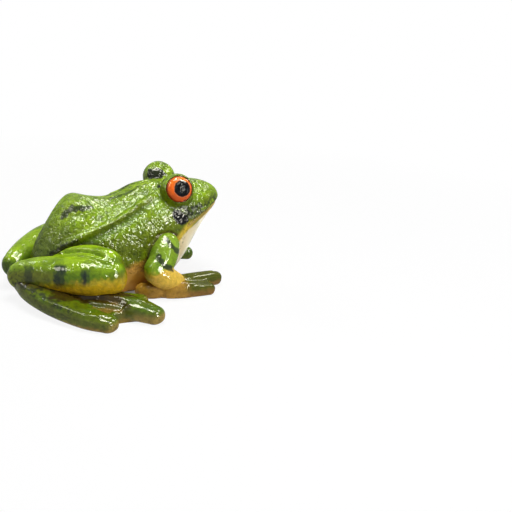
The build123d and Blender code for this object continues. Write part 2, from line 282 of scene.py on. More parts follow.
def closed(grid):
    """Vertices and faces of a grid of closed rings, with a point at each end."""
    rings, around = grid.shape[:2]
    points = np.vstack([grid.reshape(-1, 3), grid[0].mean(0), grid[-1].mean(0)])
    here = np.arange(rings - 1)[:, None] * around + np.arange(around)
    beside = np.arange(rings - 1)[:, None] * around + (np.arange(around) + 1) % around
    quads = np.stack([here, beside, beside + around, here + around], -1).reshape(-1, 4)
    ring = np.arange(around)
    after = (ring + 1) % around
    final = (rings - 1) * around
    fans = [
        np.stack([np.full(around, rings * around), after, ring], -1),
        np.stack([np.full(around, rings * around + 1), final + ring, final + after], -1),
    ]
    return points, quads.tolist() + np.vstack(fans).tolist()


def mirrored(points):
    return points * (-1, 1, 1)


def melted(grids, voxel, rounds):
    """Closed forms run together into one skin, as modelled in wax. Their union is remeshed on small
    cubes, then rubbed smooth: each point moves towards the mean of its neighbours, then a little
    further back, so that the steps go and the form keeps its size. Returns the skin's mesh."""
    points, faces, base = [], [], 0
    for grid in grids:
        part_points, part_faces = closed(grid)
        points.append(part_points)
        faces += [[base + i for i in face] for face in part_faces]
        base += len(part_points)
    mesh = bpy.data.meshes.new("wax")
    mesh.from_pydata(np.vstack(points), [], faces)
    wax = bpy.data.objects.new("wax", mesh)
    shown.objects.link(wax)
    remesh = wax.modifiers.new("cubes", "REMESH")
    remesh.mode, remesh.voxel_size = "VOXEL", voxel
    graph = bpy.context.evaluated_depsgraph_get()
    skin = bpy.data.meshes.new_from_object(wax.evaluated_get(graph))
    bpy.data.objects.remove(wax)
    edges = np.empty(len(skin.edges) * 2, dtype=np.int64)
    skin.edges.foreach_get("vertices", edges)
    start, end = edges[0::2], edges[1::2]
    points = points_of(skin)
    count = np.bincount(edges, minlength=len(points))[:, None]
    for step in [rub_in, rub_back] * rounds:
        near = [
            np.bincount(start, value[end], len(points)) + np.bincount(end, value[start], len(points))
            for value in points.T
        ]
        points += step * (np.stack(near, axis=1) / count - points)
    skin.vertices.foreach_set("co", points.ravel())
    skin.update()
    return skin


def points_of(mesh):
    points = np.empty(len(mesh.vertices) * 3)
    mesh.vertices.foreach_get("co", points)
    return points.reshape(-1, 3)


def normals_of(mesh):
    normals = np.empty(len(mesh.vertices) * 3)
    mesh.vertices.foreach_get("normal", normals)
    return normals.reshape(-1, 3)


def pigment(code):
    """A paint colour written as an sRGB hex value, turned to linear light."""
    value = np.array([int(code[i : i + 2], 16) for i in (1, 3, 5)]) / 255
    return np.where(value <= 0.04045, value / 12.92, ((value + 0.055) / 1.055) ** 2.4)


def ease(share):
    """A smooth step from 0 to 1: 3t^2 - 2t^3 of the clipped share."""
    t = np.clip(share, 0, 1)
    return t * t * (3 - 2 * t)


def mottle(points, size, seed=0.0):
    """Soft random blotches of a size in mm, 0 to 1: random values on a cubic lattice, blended."""
    place = points / size + seed * 7.31 + 100
    cell = np.floor(place)
    part = ease(place - cell)
    total = 0
    for corner in np.ndindex(2, 2, 2):
        value = np.sin((cell + corner) @ lattice_steps) * lattice_gain
        weight = np.prod(np.where(corner, part, 1 - part), axis=1)
        total = total + weight * (value - np.floor(value))
    return total


def away_from(points, path):
    """Distance from each point to a line of straight runs, and the share of the line reached."""
    path = np.asarray(path, float)
    best, reached = np.full(len(points), np.inf), np.zeros(len(points))
    for k in range(len(path) - 1):
        run = path[k + 1] - path[k]
        t = np.clip((points - path[k]) @ run / (run @ run), 0, 1)
        distance = np.linalg.norm(points - path[k] - t[:, None] * run, axis=1)
        nearer = distance < best
        best = np.where(nearer, distance, best)
        reached = np.where(nearer, (k + t) / (len(path) - 1), reached)
    return best, reached


def ridge(points, path, height, width, fade=0.12):
    """Height of a rounded ridge (or groove) along a path: a bell curve that fades at both ends."""
    distance, reached = away_from(points, path)
    ends = ease(reached / fade + 0.15) * ease((1 - reached) / fade + 0.15)
    return height * np.exp(-((distance / width) ** 2)) * ends


def stroke(points, path, width, ragged=0.35, soft=0.5, seed=0.0):
    """Cover, 0 to 1, of a brush stroke along a path: full inside its width, with a ragged edge."""
    distance, _ = away_from(points, path)
    edge = width * (1 + ragged * (2 * mottle(points, 1.1, seed) - 1))
    return ease((edge - distance) / soft + 0.5)


def over(under, colour, cover):
    """A coat of colour laid over paint, by its cover."""
    return under + (pigment(colour) - under) * np.clip(cover, 0, 1)[:, None]


def body_side(y, z):
    """Half width of the body at a place along it and a height, from its superellipse section."""
    rows = through(body_section_shares, 400)
    row = rows[np.abs(rows[:, 0] * body_length - y).argmin()]
    _, w, wide, top, under, full_top, full_under = row
    lift = z / body_height - wide
    share, full = (lift / (top - wide), full_top) if lift > 0 else (-lift / (wide - under), full_under)
    return w * body_half_width * max(0.0, 1 - min(share, 1) ** full) ** (1 / full)


def on_body(places):
    """Points on the body's left side, from places given as (y, z)."""
    return [(body_side(y, z), y, z) for y, z in places]


def limb_gap(points, shares, reach, half_width, half_height):
    """Rough distance from each point to a limb's skin: to its middle line, less its radius there."""
    middle, size = limb_stations(shares, reach, half_width, half_height, 12)
    distance, reached = away_from(points, middle)
    return distance - np.interp(reached, np.linspace(0, 1, 12), size.mean(1))


# Lines worked into the body, in mm on its left side
fold_line = [(8.6, -14.5, 38.6), (10.5, -7.7, 35.6), (12.6, 0.8, 31.6), (13.7, 8.4, 28.6)]
fold_line += [(13.8, 14.6, 26.2), (13.4, 20.5, 23.6), (12.6, 26, 20.6)]
hump_line = [(11.4, 8, 31.4), (9.9, 12.6, 33.9), (6.5, 16, 36), (3.5, 19.5, 35.4)]
hump_line += [(1.6, 23, 32.2), (0.9, 28.5, 24), (0.5, 33, 14)]
hollow_line = [(10.9, 15, 31.8), (9.0, 18.8, 33), (7.3, 22.6, 31.2), (7.1, 26, 27.2), (7, 29, 22.6)]
neck_line = [(1.8, -14, 41.2), (3.4, -9, 39.9), (5, -3, 37.6), (6.2, 2, 35.6)]
mouth_places = [(-42.2, 33.3), (-39, 31.9), (-35, 30.4), (-30, 28.5), (-25, 26.6)]
arm_crease_places = [(-19.5, 23.2), (-16.3, 24.6), (-11.6, 24.0), (-8.6, 22), (-7, 18.8), (-7.2, 15)]


def eye_frame():
    """The left eye's seat: its middle, the way it looks, and two directions across it."""
    look = np.array(eye_look) / np.linalg.norm(eye_look)
    across = np.cross((0, 0, 1), look)
    across /= np.linalg.norm(across)
    centre = np.array(eye_mound_shares) * (body_half_width, body_length, body_height)
    return centre + look * (eye_mound_radius - eye_seat_depth), look, across, np.cross(look, across)


def shape_body(points, normals):
    """Folds, humps and the mouth worked into the body's skin, and its two eye sockets sunk."""
    side = np.abs(points) * (1, 0, 0) + points * (0, 1, 1)
    mouth = on_body(mouth_places)
    rise = (
        ridge(side, fold_line, 1.45, 1.15)
        + ridge(side, np.array(fold_line) + (1.4, 0, -2.2), -0.75, 1.5)
        + ridge(side, np.array(fold_line) + (-1.6, 0, 1.6), -0.35, 1.3)
        + ridge(side, hump_line, 0.7, 2.2)
        + ridge(side, hollow_line, -0.8, 2.2)
        + ridge(side, neck_line, 0.45, 0.9)
        + ridge(side, mouth, -0.55, 0.55, 0.05)
        + ridge(side, np.array(mouth) + (0.2, 0, 1.5), 0.45, 0.8)
        + ridge(side, np.array(mouth) + (-0.2, 0, -1.4), 0.30, 0.8)
        + ridge(side, on_body(arm_crease_places), -0.7, 0.9)
    )
    points = points + normals * rise[:, None]
    # The socket: a flat seat sunk under the iris, with a rounded lid around it
    seat, look, _, _ = eye_frame()
    for mirror in ((1, 1, 1), (-1, 1, 1)):
        local = points * mirror - seat
        out = local @ look
        flat = np.linalg.norm(local - out[:, None] * look, axis=1)
        front = out > -2.5
        sink = ease((iris_radius + 0.35 - flat) / 0.5)
        drop = np.where(front, np.minimum(-0.25 - out, 0) * sink, 0)
        lid = np.where(front, 0.38 * np.exp(-(((flat - 5.55) / 0.5) ** 2) - (out / 1.2) ** 2), 0)
        points = points + (drop + lid)[:, None] * look * mirror
    return points


def paint_body(points, normals):
    """Greens brushed over the body, with painted shade on its sides and in its creases, a cream throat and
    tan flanks.
    """
    side = np.abs(points) * (1, 0, 0) + points * (0, 1, 1)
    x, y, z = side.T
    blotch, fleck = mottle(points, 5.5, 1), mottle(points, 1.3, 2)
    paint = np.tile(pigment("#82a30a"), (len(points), 1))
    paint = over(paint, "#9cbb14", ease((blotch - 0.45) * 3) * 0.5)
    paint = over(paint, "#5c7a0e", ease((mottle(points, 3.2, 3) - 0.55) * 3) * 0.55)
    # Painted shade: darker olive where the skin turns to the sides, over the rump low down and on the sides
    # of the head
    paint = over(paint, "#626a0e", ease((0.62 - normals[:, 2]) * 1.8) * 0.7)
    paint = over(paint, "#55640f", ease((y - 14) / 12) * ease((32 - z) / 10) * 0.8)
    paint = over(paint, "#56700f", ease((-y - 18) / 8) * ease((x - 9) / 4) * 0.5)
    paint = over(paint, "#41601a", ease((fleck - 0.72) * 6) * 0.35)
    # Painted shade: a darker hollow under the fold
    shade_under_fold = stroke(side, np.array(fold_line) + (1.4, 0, -2.6), 1.5, 0.5, 1.6, 4)
    paint = over(paint, "#4b6b15", shade_under_fold * 0.55)
    # Dark brushed strokes: on the hump, where they differ from side to side, at the hip and the neck
    left = points[:, 0] > 0
    dark = [(10.6, 15.4, 32), (9, 18.6, 33.4), (7.1, 21.5, 32.6), (7, 28.4, 23.6)]
    dark = stroke(side, dark, 1.9, 0.7, 1.4, 5)
    paint = over(paint, "#222c17", left * dark * 0.85)
    dark = [(8.6, 12.6, 35), (8.8, 15.6, 34.6), (6.6, 19.3, 34.2), (6.2, 23, 31)]
    dark = stroke(side, dark, 1.1, 0.6, 0.9, 5)
    paint = over(paint, "#222c17", ~left * dark * 0.85)
    dark = stroke(side, [(14.8, 19.9, 24.2), (13.3, 24.4, 21.6), (10.3, 28.3, 18.2)], 1.0, 0.7, 1.1, 6)
    paint = over(paint, "#222913", dark * 0.9)
    dark = stroke(side, [(3, -10, 40.2), (3.5, -5, 38.5), (3, -1, 37), (1.9, 3, 35.9)], 0.9, 0.9, 1.1, 7)
    paint = over(paint, "#2f4019", dark * 0.75)
    # Tan flanks low down, painted shade with a dark wash where the limbs meet the body, and a dark
    # wash line in the crease above the arm
    edge = np.interp(y, [-14, -8, -3, 2, 6, 12], [16.5, 15, 14.2, 12.5, 10, 8])
    low = ease((edge - z + 2.0 * (fleck - 0.5)) / 3.5 + 0.3) * ease((y + 21) / 5) * ease((30 - y) / 8)
    paint = over(paint, "#dca548", low)
    paint = over(paint, "#a8741f", low * ease((blotch - 0.4) * 2.5) * 0.5)
    leg_near = np.minimum(
        limb_gap(side, thigh_shares, foot_reach, thigh_radius, thigh_radius),
        limb_gap(side, shin_shares, foot_reach, shin_radius, shin_radius),
    )
    paint = over(paint, "#3a3a14", ease(1.3 - leg_near / 1.6) * 0.75)
    arm_near = limb_gap(side, upper_arm_shares, hand_reach, upper_arm_radius, upper_arm_radius)
    paint = over(paint, "#4f420f", ease(1.2 - arm_near / 1.5) * 0.8)
    crease = stroke(side, on_body(arm_crease_places), 0.55, 0.3, 0.5, 8)
    paint = over(paint, "#4c420c", crease * 0.9)
    # Yellow before the arm, and the cream throat below the mouth
    lip_y, lip_z = [-43, -42.2, -35, -30, -25, -22, -19, -16], [33.4, 33.2, 30.4, 28.5, 26.4, 24, 20, 14]
    line = np.interp(y, lip_y, lip_z)
    yellow = ease((line + 2.2 - z) / 2.5) * ease((-17.5 - y) / 3) * ease((y + 29) / 4)
    paint = over(paint, "#d9bb38", yellow)
    bare = np.interp(y, [-35, -28, -20], [0.2, 1.7, 2.2])
    throat = ease((line - bare - z) / 1.0 + 0.4 * (fleck - 0.5)) * ease((-16.5 - y) / 2.5)
    paint = over(paint, "#fbf3d6", throat)
    paint = over(paint, "#d9b978", throat * ease((8 - z + 4 * (blotch - 0.5)) / 7) * 0.7)
    paint = over(paint, "#e9d193", throat * ease((x - 10.5 + 3 * (blotch - 0.5)) / 4) * 0.7)
    belly = ease((0.6 - z) / 0.8) + ease((-normals[:, 2] - 0.75) * 6) * ease((4 - z) / 3)
    paint = over(paint, "#d8bd7a", belly)
    # Tan lips along the mouth, its dark line, the smudged upper lip with pale painted glints over it, and
    # the black ear patch
    mouth = on_body(mouth_places)
    lip = stroke(side, np.array(mouth) + (0.1, 0, -0.5), 0.75, 0.3, 0.5, 9)
    paint = over(paint, "#b79a45", lip * 0.9)
    smear = stroke(side, [(14.6, -20.4, 32.2), (13.6, -25.8, 31.2), (11.8, -30.7, 31.8)], 2.3, 0.5, 1.3, 10)
    thin = stroke(side, [(11.8, -30.7, 31.6), (9.1, -36, 33.2), (6, -39.5, 34.4)], 1.1, 0.8, 1.4, 15)
    cover = np.maximum(smear, thin * 0.8) * ease((mottle(points, 0.8, 11) - 0.22) * 2.4)
    paint = over(paint, "#171a13", cover * 0.9)
    # Pale flecks over the smudge: painted glints
    paint = over(paint, "#a3aa8c", smear * ease((mottle(points, 0.7, 16) - 0.54) * 5) * 0.8)
    ear = stroke(side, [(15.0, -19.9, 30.9), (15.1, -21.4, 29.2), (14.9, -22.9, 28.7)], 2.15, 0.2, 0.6, 12)
    paint = over(paint, "#050606", ear)
    gap = stroke(side, mouth, 0.28, 0.2, 0.35, 13)
    paint = over(paint, "#4a2a12", gap * 0.9)
    # Eye mounds: dark patch behind, and a dark line around each iris
    seat, look, _, _ = eye_frame()
    centre = np.array(eye_mound_shares) * (body_half_width, body_length, body_height)
    patch_way = np.array((-0.72, 0.50, 0.42))
    patch = centre + eye_mound_radius * patch_way / np.linalg.norm(patch_way)
    patch = stroke(side, [patch + (0.9, 0.9, -0.1), patch - (0.4, 1.1, -0.1)], 2.6, 0.35, 0.8, 14)
    paint = over(paint, "#0d100a", patch * 0.95)
    around = np.linalg.norm(side - seat - ((side - seat) @ look)[:, None] * look, axis=1)
    before = ((side - seat) @ look) > -2
    paint = over(paint, "#3b3a12", before * ease((5.45 - around) / 0.35) * 0.9)
    return paint


# Lines worked into the left leg and foot, in mm
leg_crease = [(13.5, 26, 19.6), (17.6, 22.9, 21.2), (22.1, 17.9, 22.3), (25.6, 14.4, 22.0)]
leg_crease += [(27.4, 12.4, 21.6)]
foot_hollow = [(29, 22.5, 7.4), (31.5, 17.5, 7.7), (34.2, 13.2, 7.7), (37.2, 10.2, 7.1), (39.6, 8.6, 6)]


def shape_leg(points, normals):
    """The crease between the folded thigh and shin, pressed in, with a soft ridge above it."""
    crease = np.array(leg_crease)
    rise = ridge(points, crease, -1.5, 0.9) + ridge(points, crease + (-1.3, -1.6, 0.3), 0.3, 1.4)
    return points + normals * rise[:, None]


def shape_foot(points, normals):
    """Toes drawn up to a ridge along their tops, with flatter sides, and the hollow between them."""
    outer = [(25.9, 35.4, 7.0), (36.4, 28, 7.0), (41.7, 23.9, 6.4), (45.0, 18.9, 5.4)]
    long = [(30, 17, 8.2), (36.6, 6.6, 8.0), (40.5, 1.5, 7.4), (43.8, -1.8, 6.2)]
    rise = (
        ridge(points, outer, 0.55, 0.9)
        + ridge(points, long, 0.45, 0.9)
        + ridge(points, [(33, 24, 7.2), (38.5, 18, 5.2), (40.5, 13.5, 4.4)], -0.6, 1.8)
        + ridge(points, foot_hollow, -1.2, 1.7)
    )
    return points + normals * rise[:, None]


def shape_hand(points, normals):
    """Fingers drawn up to a ridge along their outer tops, and a wrist that swells under the forearm."""
    near = [(24.2, -16, 6.4), (26.2, -21, 6.0), (26.8, -26, 5.6), (26.9, -30.5, 4.9)]
    far = [(19.5, -22, 7.4), (17.6, -30, 6.9), (15.6, -36, 5.6)]
    wrist = [(24.4, -11, 3.0), (25.0, -16, 3.6), (25.2, -20, 3.8), (25.4, -23, 3.4)]
    rise = ridge(points, near, 0.5, 0.8) + ridge(points, far, 0.3, 0.9)
    rise += ridge(points, wrist, 1.3, 2.4, 0.4)
    return points + normals * rise[:, None]


def paint_leg(points, normals, mirror):
    """Green above and yellow below along the shin, with three dark bands across its outer face,
    lighter where it faces up as painted light, and darker on faces turned away as painted shade.
    """
    _, y, z = points.T
    fleck, blotch = mottle(points, 1.2, 21), mottle(points, 4.5, 22)
    paint = np.tile(pigment("#5f7e0c"), (len(points), 1))
    # Painted light: lighter green where the leg faces up
    paint = over(paint, "#a4c81c", ease((normals[:, 2] - 0.35) * 2) * 0.7)
    paint = over(paint, "#50700e", ease((blotch - 0.5) * 3) * 0.5)
    paint = over(paint, "#7f7c12", ease((14 - y) / 7) * ease((0.55 - normals[:, 2]) * 3) * 0.85)
    # Painted shade: olive on the right leg's sides towards the heel
    if mirror < 0:
        paint = over(paint, "#6f7420", ease((y - 26) / 6) * ease((0.6 - normals[:, 2]) * 3) * 0.8)
    middle, size = limb_stations(shin_shares, foot_reach, shin_radius, shin_radius)
    _, reached = away_from(points, middle)
    # Height from the shin's middle line, as a share of its half height there
    station = np.linspace(0, 1, len(middle))
    level = (z - np.interp(reached, station, middle[:, 2])) / np.interp(reached, station, size[:, 1])
    edge = np.interp(reached, [0, 0.15, 0.3, 0.45, 0.7, 1], [0.12, 0.05, -0.12, -0.35, -0.7, -1.1])
    if mirror > 0:
        edge -= 0.22
    yellow = ease((edge - level + 0.30 * (fleck - 0.5)) / 0.60 + 0.5)
    paint = over(paint, "#9a9a20", ease(yellow * 2) * 0.6)
    paint = over(paint, "#d4ae22", yellow)
    # Painted shade: dark green on the left leg's back and inner faces, below the top of the shin
    if mirror > 0:
        behind = 0.7 * normals[:, 1] - normals[:, 0]
        paint = over(paint, "#3c5210", ease((behind - 0.15) * 2) * ease((0.75 - level) / 0.5) * 0.85)
    paint = over(paint, "#8a6a20", ease((-0.62 - level) / 0.35) * 0.85)
    paint = over(paint, "#4c3d12", ease((-0.85 - level) / 0.25) * 0.8)
    if mirror < 0:
        specks = ease((mottle(points, 0.8, 27) - 0.6) * 7) * ease((reached - 0.55) / 0.3)
        paint = over(paint, "#2a2f14", specks * 0.6)
    crease = stroke(points, leg_crease, 0.5, 0.4, 0.6, 23)
    crease += stroke(points, leg_crease[:3], 0.6, 0.4, 0.7, 24)
    paint = over(paint, "#44460f", crease * 0.8)
    # Bands of dark blue-green brushed down the outer face: place and half width as shares of the
    # shin, lowest and highest level, and strength
    bands = [(0.205, 0.026, -0.25, 0.74, 1), (0.375, 0.044, -0.5, 0.84, 0.95), (0.64, 0.056, -0.5, 0.8, 0.7)]
    if mirror > 0:
        bands = [(0.36, 0.06, 0.2, 0.86, 1), (0.43, 0.04, -0.3, 0.8, 1), (0.68, 0.045, -0.1, 0.85, 0.9)]
    for k, (place, half, low, high, full) in enumerate(bands):
        rough = 0.35 * half * (2 * mottle(points, 0.9, 30 + k) - 1)
        cover = ease((half + rough - np.abs(reached - place)) / 0.028 + 0.3)
        cover *= ease((level - low) / 0.45 + 0.5 * (fleck - 0.5)) * ease((high - level) / 0.15)
        cover *= ease((normals[:, 0] + 0.1) * 4)
        paint = over(paint, "#1d2a26", cover * full * (0.62 + 0.34 * ease(fleck * 2)))
    return paint


def paint_arm(points, normals, mirror):
    """Green upper arm with two dark bands, and a yellow forearm; painted light where it faces up,
    and painted shade on its inner side against the body.
    """
    x, y, z = points.T
    fleck = mottle(points, 1.1, 41)
    paint = np.tile(pigment("#7a9c12"), (len(points), 1))
    # Painted light: lighter green where the arm faces up
    paint = over(paint, "#8fae34", ease(normals[:, 2] * 1.5) * 0.6)
    paint = over(paint, "#53781c", ease((mottle(points, 3, 42) - 0.5) * 3) * 0.5)
    edge = np.interp(-y, [5, 7.7, 9.1, 13.7, 16.2, 20], [6.5, 9.8, 12.2, 12.8, 12.2, 12.5])
    if mirror < 0:
        edge = np.maximum(edge, 11.6)
    yellow = ease((edge - z + 1.4 * (fleck - 0.5)) / 1.6 + 0.5)
    paint = over(paint, "#deb844", yellow)
    if mirror < 0:
        paint = over(paint, "#80801c", yellow * ease((y + 7.5) / 3.5) * 0.8)
    paint = over(paint, "#b58a30", ease((7.5 - z + 1.2 * (fleck - 0.5)) / 3.5) * 0.85)
    paint = over(paint, "#8a6a28", ease((4.0 - z) / 2.5) * 0.85)
    upper_band = [(19.2, -14.2, 22.6), (21.0, -15.3, 21.0), (21.7, -16.9, 19.0), (20.4, -19.6, 17.4)]
    lower_band = [(22.6, -9.4, 17.6), (24.6, -10.7, 15.4), (24.9, -12.7, 13.4), (24.2, -14.6, 12.4)]
    for k, path in enumerate((upper_band, lower_band)):
        paint = over(paint, "#20281c", stroke(points, path, 1.0, 0.45, 0.6, 43 + k) * 0.88)
    # Painted shade, in the colour of the crease's wash, on the arm's inner side against the body
    return over(paint, "#4c420c", ease((11.5 - x) / 1.5) * 0.8)


def paint_foot(points, normals, mirror):
    """Olive green on top, browner at the heel, painted shadow in brown under the shin and in the hollow
    between the toes, with tan sides and toe tips.
    """
    x, y, z = points.T
    fleck = mottle(points, 1.2, 51)
    paint = np.tile(pigment("#5c6c0c"), (len(points), 1))
    paint = over(paint, "#4f7012", ease((mottle(points, 4, 52) - 0.45) * 3) * 0.6)
    # Painted shadow: brown close under the shin
    shin_near = limb_gap(points, shin_shares, foot_reach, shin_radius, shin_radius)
    paint = over(paint, "#4a3a16", ease(1.2 - shin_near / 3.0) * (0.55 + 0.4 * fleck))
    if mirror < 0:
        heel = ease((y - 22) / 8) * ease((mottle(points, 1.0, 54) - 0.46) * 5)
        paint = over(paint, "#20231a", heel * 0.75)
    else:
        dark = [(29.2, 33.4, 9), (32.7, 31.6, 6.6), (34.5, 31.1, 4.4), (35.5, 31, 1)]
        dark = stroke(points, dark, 1.3, 0.5, 0.9, 54)
        dark = np.maximum(dark, stroke(points, [(25.5, 34.5, 9), (28, 36, 6)], 0.8, 0.6, 0.8, 55) * 0.8)
        paint = over(paint, "#1a2a22", dark * 0.85)
    # Painted shadow: a dark brown stroke along the foot under the shin
    under = stroke(points, [(27, 29, 9), (30, 21, 7.5), (32, 12, 7.5), (32.5, 6, 7.5)], 3.6, 0.5, 2.0, 56)
    paint = over(paint, "#3b2b0c", under * 0.85)
    # Painted shade: dark brown in the hollow between the toes
    paint = over(paint, "#43340e", stroke(points, foot_hollow, 1.9, 0.4, 1.2, 57) * 0.85)
    fork = stroke(points, [(38, 20, 4), (36, 12, 4), (39, 9.5, 3)], 2.2, 0.4, 2.0, 53)
    paint = over(paint, "#8d6c2e", fork * 0.75)
    paint = over(paint, "#5c6426", ease((0.62 - normals[:, 2]) * 3) * 0.8)
    sides = ease((2.6 - z + 1.2 * (fleck - 0.5)) / 1.6) * ease((0.75 - normals[:, 2]) * 3)
    paint = over(paint, "#8a6f30", sides * 0.85)
    tips = (ease((0.5 - y) / 5) + ease((18.5 - y) / 3.5) * ease((x - 41) / 2)) * ease((5 - z) / 2.5)
    paint = over(paint, "#9a8340", tips * 0.8)
    return paint


def paint_hand(points, normals, mirror):
    """Olive brown, tan at the sides and wrist, and greener towards the tips on the frog's left."""
    _, y, z = points.T
    fleck = mottle(points, 1.2, 61)
    paint = np.tile(pigment("#535806"), (len(points), 1))
    paint = over(paint, "#474f08", ease((mottle(points, 3.5, 62) - 0.45) * 3) * 0.6)
    sides = ease((4.4 - z + 1.2 * (fleck - 0.5)) / 2.4) * ease((0.65 - normals[:, 2]) * 3)
    paint = over(paint, "#84622a", sides)
    if mirror > 0:
        paint = over(paint, "#4a7216", ease((-14 - y) / 6) * 0.7)
    paint = over(paint, "#b08530", ease((y + 22.5) / 5) * 0.9)
    paint = over(paint, "#5f4717", ease((1.2 - z) / 1.2) * 0.6)
    return paint


def faces_of(mesh):
    return [tuple(face.vertices) for face in mesh.polygons]


def make(name, points, faces, paint, coat):
    """Makes a finished piece from points in mm, with its paint kept as an attribute of its points."""
    points = np.clip(points, cad_low + box_margin, cad_high - box_margin)
    mesh = bpy.data.meshes.new("painted_" + name)
    mesh.from_pydata(points * MM, [], faces)
    mesh.update()
    mesh.shade_smooth()
    mesh.set_sharp_from_angle(angle=np.radians(sharp_edge))
    colour = mesh.attributes.new("paint", "FLOAT_COLOR", "POINT")
    colour.data.foreach_set("color", np.hstack([paint, np.ones((len(paint), 1))]).ravel())
    mesh.materials.append(coat)
    piece = bpy.data.objects.new("painted_" + name, mesh)
    shown.objects.link(piece)
    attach(piece, "root")
    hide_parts(name)


def make_pair(name, points, faces, paints, coat):
    """A piece of the frog's left side, and the same piece mirrored for its right side."""
    make("left_" + name, points, faces, paints[0], coat)
    flipped = [tuple(face)[::-1] for face in faces]
    make("right_" + name, mirrored(points), flipped, paints[1], coat)


def seam_height(y):
    return np.interp(y / body_length, *np.transpose(seam_shares)) * body_height


def half_of(skin, upper):
    """One of the body's two shells: heights are measured from the seam, so that the seam is the
    plane z = 0 and cuts straight, and the cut face is divided where the seam bends."""
    level = skin.copy()
    points = points_of(level)
    points[:, 2] -= seam_height(points[:, 1])
    level.vertices.foreach_set("co", points.ravel())
    work = bmesh.new()
    work.from_mesh(level)
    sign = 1 if upper else -1
    bmesh.ops.bisect_plane(
        work,
        geom=work.verts[:] + work.edges[:] + work.faces[:],
        plane_co=(0, 0, 0),
        plane_no=(0, 0, sign),
        clear_inner=True,
    )
    rim = [edge for edge in work.edges if edge.is_boundary]
    cap = bmesh.ops.contextual_create(work, geom=rim)["faces"]
    for y, _ in seam_shares[1:-1]:
        near = set(cap)
        near |= {edge for face in cap for edge in face.edges}
        near |= {vertex for face in cap for vertex in face.verts}
        bmesh.ops.bisect_plane(work, geom=list(near), plane_co=(0, y * body_length, 0), plane_no=(0, 1, 0))
        cap = [face for face in work.faces if all(abs(corner.co.z) < 1e-4 for corner in face.verts)]
    bmesh.ops.recalc_face_normals(work, faces=work.faces[:])
    half = bpy.data.meshes.new("half")
    work.to_mesh(half)
    work.free()
    points = points_of(half)
    points[:, 2] += seam_height(points[:, 1])
    half.vertices.foreach_set("co", points.ravel())
    half.update()
    return half


def node(tree, kind, settings=(), inputs=(), links=()):
    """Adds a node, sets its settings and inputs, and links its inputs from other nodes' outputs."""
    made = tree.nodes.new(kind)
    for key, value in dict(settings).items():
        setattr(made, key, value)
    for key, value in dict(inputs).items():
        made.inputs[key].default_value = value
    for key, output in dict(links).items():
        tree.links.new(output, made.inputs[key])
    return made


# Width of the brush streaks in mm, and how much wider and deeper than its grain the varnish swells
streak_size = 1.6
swell_width, swell_depth = 3, 1.6


def varnished(name, grit, relief, brush, gloss, pit_shade, clear=0.28):
    """Acrylic paint brushed on cast resin under thick gloss varnish: colour that varies with the
    brush, a grainy skin that breaks the varnish's highlights, and a clear hard coat over it.
    grit is the grain's size in mm, as coarse as the highlights are broken, and relief its depth in
    mm. brush is how far the colour varies, gloss the paint's roughness, pit_shade how much painted
    shade darkens the grain's pits, and clear the varnish's weight."""
    coat = bpy.data.materials.new(name)
    coat.use_nodes = True
    tree = coat.node_tree
    tree.nodes.clear()
    place = node(tree, "ShaderNodeTexCoord").outputs["Object"]
    paint = node(tree, "ShaderNodeAttribute", {"attribute_name": "paint"}).outputs["Color"]
    streak = node(
        tree,
        "ShaderNodeTexNoise",
        inputs={"Scale": 1 / (streak_size * MM), "Detail": 3, "Roughness": 0.6, "Distortion": 0.8},
        links={"Vector": place},
    )
    grain = node(
        tree,
        "ShaderNodeTexNoise",
        inputs={"Scale": 1 / (grit * MM), "Detail": 1, "Roughness": 0.4, "Distortion": 1.0},
        links={"Vector": place},
    )
    # Each streak is a little lighter or darker than the paint, and each pit of the grain darker as painted
    # shade
    tone = node(
        tree,
        "ShaderNodeMapRange",
        inputs={"From Min": 0.3, "From Max": 0.7, "To Min": 1 - brush, "To Max": 1 + brush},
        links={"Value": streak.outputs["Fac"]},
    )
    pits = node(
        tree,
        "ShaderNodeMapRange",
        inputs={"From Min": 0.32, "From Max": 0.55, "To Min": 1 - pit_shade, "To Max": 1.0},
        links={"Value": grain.outputs["Fac"]},
    )
    both = node(
        tree,
        "ShaderNodeMath",
        {"operation": "MULTIPLY"},
        links={0: tone.outputs["Result"], 1: pits.outputs["Result"]},
    )
    brushed = node(
        tree,
        "ShaderNodeVectorMath",
        {"operation": "SCALE"},
        links={0: paint, "Scale": both.outputs[0]},
    )
    rough = node(
        tree,
        "ShaderNodeMapRange",
        inputs={"From Min": 0.3, "From Max": 0.7, "To Min": gloss * 0.7, "To Max": gloss * 1.4},
        links={"Value": streak.outputs["Fac"]},
    )
    # The skin: wide soft swells of varnish, and the grain on them
    swell = node(
        tree,
        "ShaderNodeTexNoise",
        inputs={"Scale": 1 / (swell_width * grit * MM), "Detail": 0, "Distortion": 0.6},
        links={"Vector": place},
    )
    waves = node(
        tree,
        "ShaderNodeBump",
        inputs={"Strength": 1.0, "Distance": swell_depth * relief * MM},
        links={"Height": swell.outputs["Fac"]},
    )
    skin = node(
        tree,
        "ShaderNodeBump",
        inputs={"Strength": 1.0, "Distance": relief * MM},
        links={"Height": grain.outputs["Fac"], "Normal": waves.outputs["Normal"]},
    )
    shader = node(
        tree,
        "ShaderNodeBsdfPrincipled",
        inputs={
            "IOR": 1.5,
            "Specular IOR Level": 0.0,
            "Coat Weight": clear,
            "Coat Roughness": 0.04,
            "Coat IOR": 1.6,
        },
        links={
            "Base Color": brushed.outputs["Vector"],
            "Roughness": rough.outputs["Result"],
            "Normal": skin.outputs["Normal"],
            "Coat Normal": skin.outputs["Normal"],
        },
    )
    node(tree, "ShaderNodeOutputMaterial", links={"Surface": shader.outputs["BSDF"]})
    return coat


